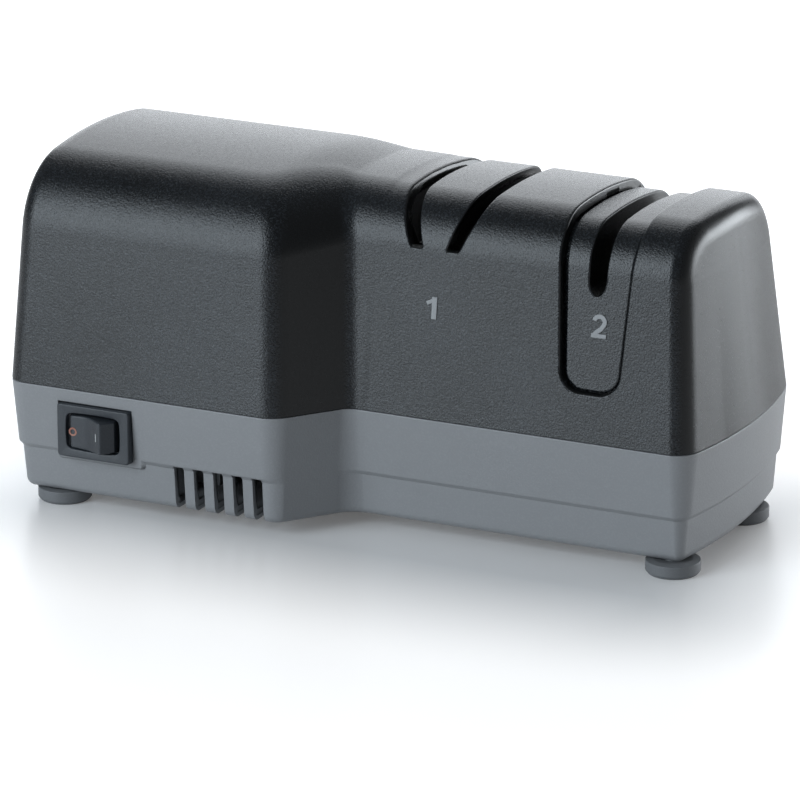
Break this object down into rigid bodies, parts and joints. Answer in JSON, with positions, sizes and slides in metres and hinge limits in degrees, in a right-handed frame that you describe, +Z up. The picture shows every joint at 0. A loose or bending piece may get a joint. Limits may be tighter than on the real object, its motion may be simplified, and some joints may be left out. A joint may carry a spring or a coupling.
{
  "type": "electric knife sharpener",
  "caption": "Two-tone worktop knife sharpener: a mains motor stage with leaning slots over spring-loaded abrasive disks, and a hand honing stage with an upright slot.",
  "frame": {"origin": "middle of the outline in plan, on the surface that the feet stand on", "axes": "+X along the length towards the hand stage, front with the switch towards -Y, +Z up"},
  "size_m": [0.1974, 0.0952, 0.0974],
  "materials": {
    "cover_plastic": "fine-grained satin dark grey",
    "base_plastic": "satin mid grey",
    "black_plastic": "satin black",
    "rubber": "matt grey rubber",
    "steel": "plain bright steel",
    "zinc": "as-cast zinc alloy",
    "bronze": "sintered bronze",
    "core_steel": "laminated electrical steel, varnished",
    "bobbin_nylon": "natural nylon",
    "copper": "enamelled copper winding",
    "fan_nylon": "white nylon",
    "abrasive": "diamond-coated steel, fine grit",
    "magnet": "sintered ferrite",
    "terminal": "ivory terminal plastic",
    "lead_brown": "brown PVC insulation",
    "lead_black": "black PVC insulation",
    "lead_blue": "blue PVC insulation"
  },
  "bodies": {
    "housing": {"foot_front_left": "rubber", "foot_front_right": "rubber", "foot_rear_right": "rubber", "foot_rear_left": "rubber", "base_tray": "base_plastic", "motor_core": "core_steel", "coil_bobbin": "bobbin_nylon", "motor_coil": "copper", "bearing_bracket_left": "zinc", "bearing_bracket_right": "zinc", "bush_left": "bronze", "bush_right": "bronze", "bush_end": "bronze", "motor_bolt_front": "steel", "motor_bolt_rear": "steel", "knife_guide": "black_plastic", "guide_magnet_left": "magnet", "guide_magnet_right": "magnet", "guide_screw_left": "steel", "guide_screw_right": "steel", "upper_cover": "cover_plastic", "cover_screw_front_left": "steel", "cover_screw_rear_left": "steel", "cover_screw_front_middle": "steel", "cover_screw_rear_middle": "steel", "cover_screw_front_right": "steel", "cover_screw_rear_right": "steel", "stage_two_module": "cover_plastic", "honing_axle": "steel", "wheel_keeper": "black_plastic", "keeper_screw_front": "steel", "keeper_screw_rear": "steel", "switch_housing": "black_plastic", "cord_inlet_bush": "black_plastic", "filings_magnet": "magnet", "terminal_block": "terminal", "terminal_screw_left": "steel", "terminal_screw_right": "steel", "lead_feed": "lead_brown", "lead_switched": "lead_black", "lead_neutral": "lead_blue"},
    "rocker": {"switch_rocker": "black_plastic"},
    "spindle": {"drive_shaft": "steel", "motor_rotor": "core_steel", "cooling_fan": "fan_nylon", "drive_pin_left": "steel", "drive_pin_right": "steel", "disk_collar_left": "steel", "disk_collar_right": "steel", "disk_spring": "steel"},
    "disk_left": {"abrasive_disk_left": "abrasive"},
    "disk_right": {"abrasive_disk_right": "abrasive"},
    "wheel_left": {"honing_wheel_left": "abrasive"},
    "wheel_right": {"honing_wheel_right": "abrasive"},
    "clean_out": {"clean_out_cover": "base_plastic"}
  },
  "joints": [
    {"name": "switch_rock", "type": "hinge", "parent": "housing", "child": "rocker", "pos_m": [-0.07095, -0.04075, 0.0235], "axis": [0, 0, 1], "range_deg": [0, 34]},
    {"name": "spindle_spin", "type": "hinge", "parent": "housing", "child": "spindle", "pos_m": [0, 0.00674, 0.06], "axis": [1, 0, 0], "continuous": true},
    {"name": "disk_left_slide", "type": "slide", "parent": "spindle", "child": "disk_left", "axis": [1, 0, 0], "range_m": [0, 0.0015], "stiffness_N_per_m": 1200, "springref_m": -0.001, "deforming": ["disk_spring"]},
    {"name": "disk_right_slide", "type": "slide", "parent": "spindle", "child": "disk_right", "axis": [-1, 0, 0], "range_m": [0, 0.0015], "stiffness_N_per_m": 1200, "springref_m": -0.001, "deforming": ["disk_spring"]},
    {"name": "wheel_left_spin", "type": "hinge", "parent": "housing", "child": "wheel_left", "pos_m": [0.06575, 0.01114, 0.0695], "axis": [1, 0, 0], "continuous": true},
    {"name": "wheel_right_spin", "type": "hinge", "parent": "housing", "child": "wheel_right", "pos_m": [0.06575, 0.01114, 0.0695], "axis": [1, 0, 0], "continuous": true},
    {"name": "clean_out_slide", "type": "slide", "parent": "housing", "child": "clean_out", "axis": [1, 0, 0], "range_m": [0, 0.018]}
  ]
}
